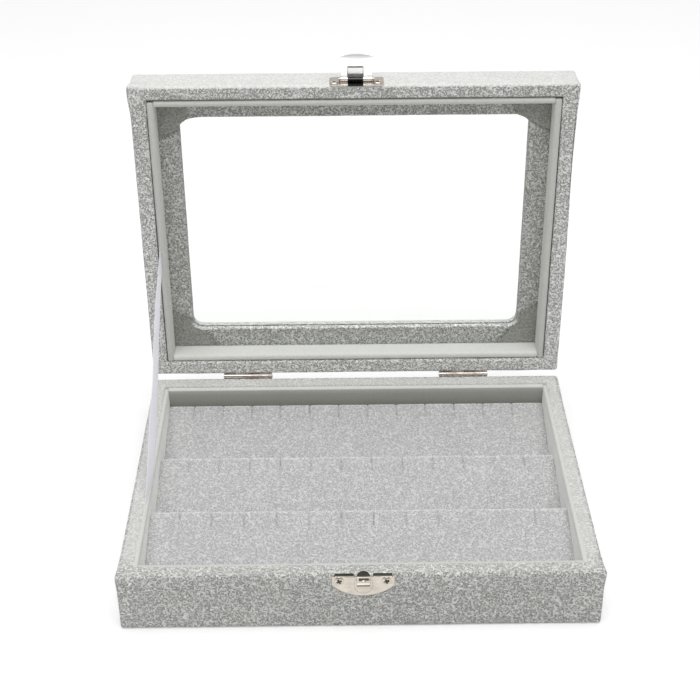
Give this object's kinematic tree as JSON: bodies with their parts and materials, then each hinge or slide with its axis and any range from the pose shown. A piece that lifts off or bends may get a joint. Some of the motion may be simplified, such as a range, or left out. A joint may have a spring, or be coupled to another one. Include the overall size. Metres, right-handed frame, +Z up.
{
  "type": "pin display case",
  "caption": "Shallow rectangular display case covered in grey velvet, with sloping slit pads, a hinged lid with a glass window, a stay ribbon and a snap clasp",
  "frame": {"origin": "middle of the flat underside of the base, on the surface that the case stands on", "axes": "+X to the right along the width, +Y to the back where the hinges are, +Z up; the catch is on the -Y side; the lid stands open at a right angle"},
  "size_m": [0.2, 0.1714, 0.1916],
  "materials": {
    "velvet": "matte",
    "velour": "matte",
    "pad_velvet": "matte",
    "felt": "matte",
    "foam": "matte",
    "board": "matte",
    "glass": "gloss",
    "nickel": "polished",
    "bronze": "satin",
    "ribbon": "satin"
  },
  "bodies": {
    "case": {"base_wall_front": "board", "base_wall_back": "board", "base_wall_left": "board", "base_wall_right": "board", "base_bottom_board": "board", "base_velvet": "velvet", "underside_felt": "felt", "base_liner_front": "velour", "base_liner_back": "velour", "base_liner_left": "velour", "base_liner_right": "velour", "pad_core_front": "foam", "pad_core_middle": "foam", "pad_core_back": "foam", "pad_cover_front": "pad_velvet", "pad_cover_middle": "pad_velvet", "pad_cover_back": "pad_velvet", "hinge_base_leaf_left": "bronze", "hinge_base_leaf_right": "bronze", "hinge_pin_left": "bronze", "hinge_pin_right": "bronze", "catch_plate": "nickel", "catch_screws": "nickel", "ribbon": "ribbon"},
    "lid": {"lid_wall_front": "board", "lid_wall_back": "board", "lid_wall_left": "board", "lid_wall_right": "board", "lid_top_board": "board", "lid_velvet": "velvet", "window_frame": "velvet", "window_glass": "glass", "lid_liner_front": "velour", "lid_liner_back": "velour", "lid_liner_left": "velour", "lid_liner_right": "velour", "hinge_lid_leaf_left": "bronze", "hinge_lid_leaf_right": "bronze", "clasp_plate": "nickel", "clasp_screws": "nickel", "clasp_pin": "nickel"},
    "flap": {"clasp_flap": "nickel"}
  },
  "joints": [
    {"name": "lid_hinge", "type": "hinge", "parent": "case", "child": "lid", "pos_m": [0, 0.07635, 0.0275], "axis": [1, 0, 0], "range_deg": [0, 90], "deforming": ["ribbon"]},
    {"name": "clasp_hinge", "type": "hinge", "parent": "lid", "child": "flap", "pos_m": [0.001, 0.08145, 0.1801], "axis": [1, 0, 0], "range_deg": [-30, 90]}
  ]
}
